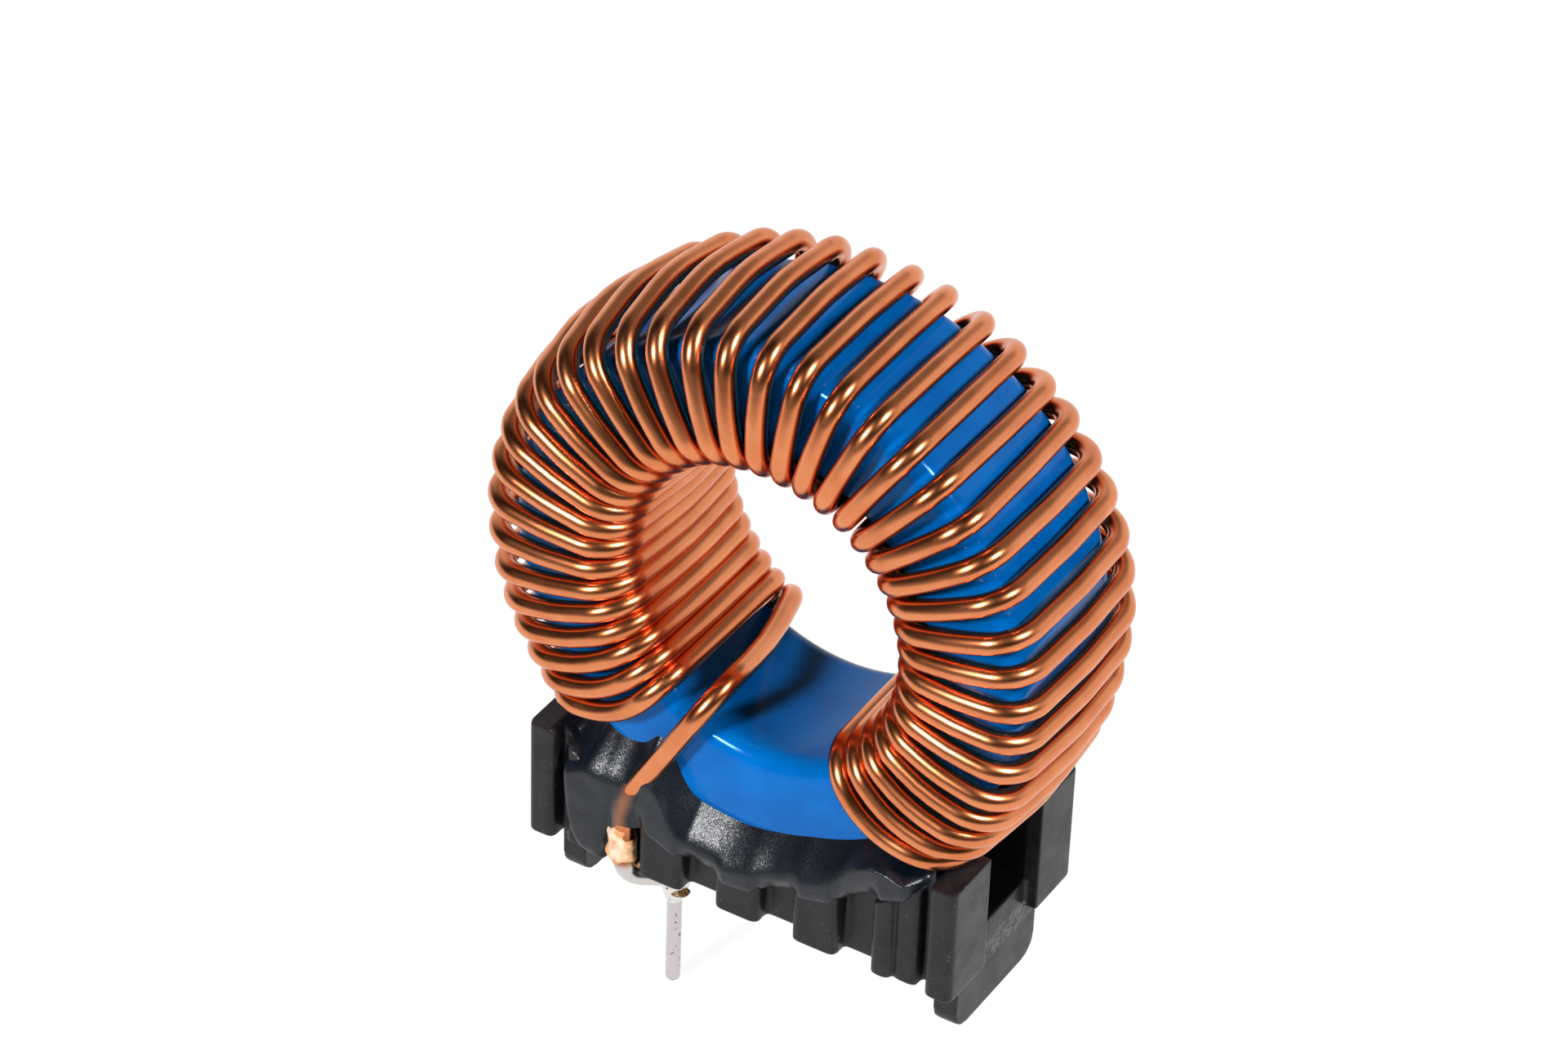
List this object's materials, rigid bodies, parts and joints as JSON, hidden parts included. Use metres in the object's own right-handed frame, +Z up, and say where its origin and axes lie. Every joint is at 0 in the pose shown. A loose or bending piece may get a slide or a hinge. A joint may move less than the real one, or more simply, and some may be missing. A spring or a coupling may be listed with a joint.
{
  "type": "inductor",
  "caption": "Upright toroidal power choke: enamelled copper wire wound on a coated ring core, glued into a slotted plastic header with two board pins.",
  "frame": {"origin": "on the board's surface, midway between the two pins, under the middle of the ring", "axes": "+Z up from the board, +Y along the ring's axis from the front to the rear, +X along the header's length"},
  "size_m": [0.0365, 0.0144, 0.0474],
  "materials": {
    "core_coat": "glossy epoxy coat",
    "enamelled_copper": "clear enamel on drawn copper",
    "header_plastic": "satin moulding",
    "tinned_pin": "tinned",
    "solder": "bright solder",
    "adhesive": "cured glossy adhesive"
  },
  "bodies": {
    "root": {"toroid_core": "core_coat", "winding": "enamelled_copper", "header_base": "header_plastic", "terminal_pin_front": "tinned_pin", "terminal_pin_rear": "tinned_pin", "solder_front": "solder", "solder_rear": "solder", "adhesive_front": "adhesive", "adhesive_rear": "adhesive"}
  },
  "joints": []
}
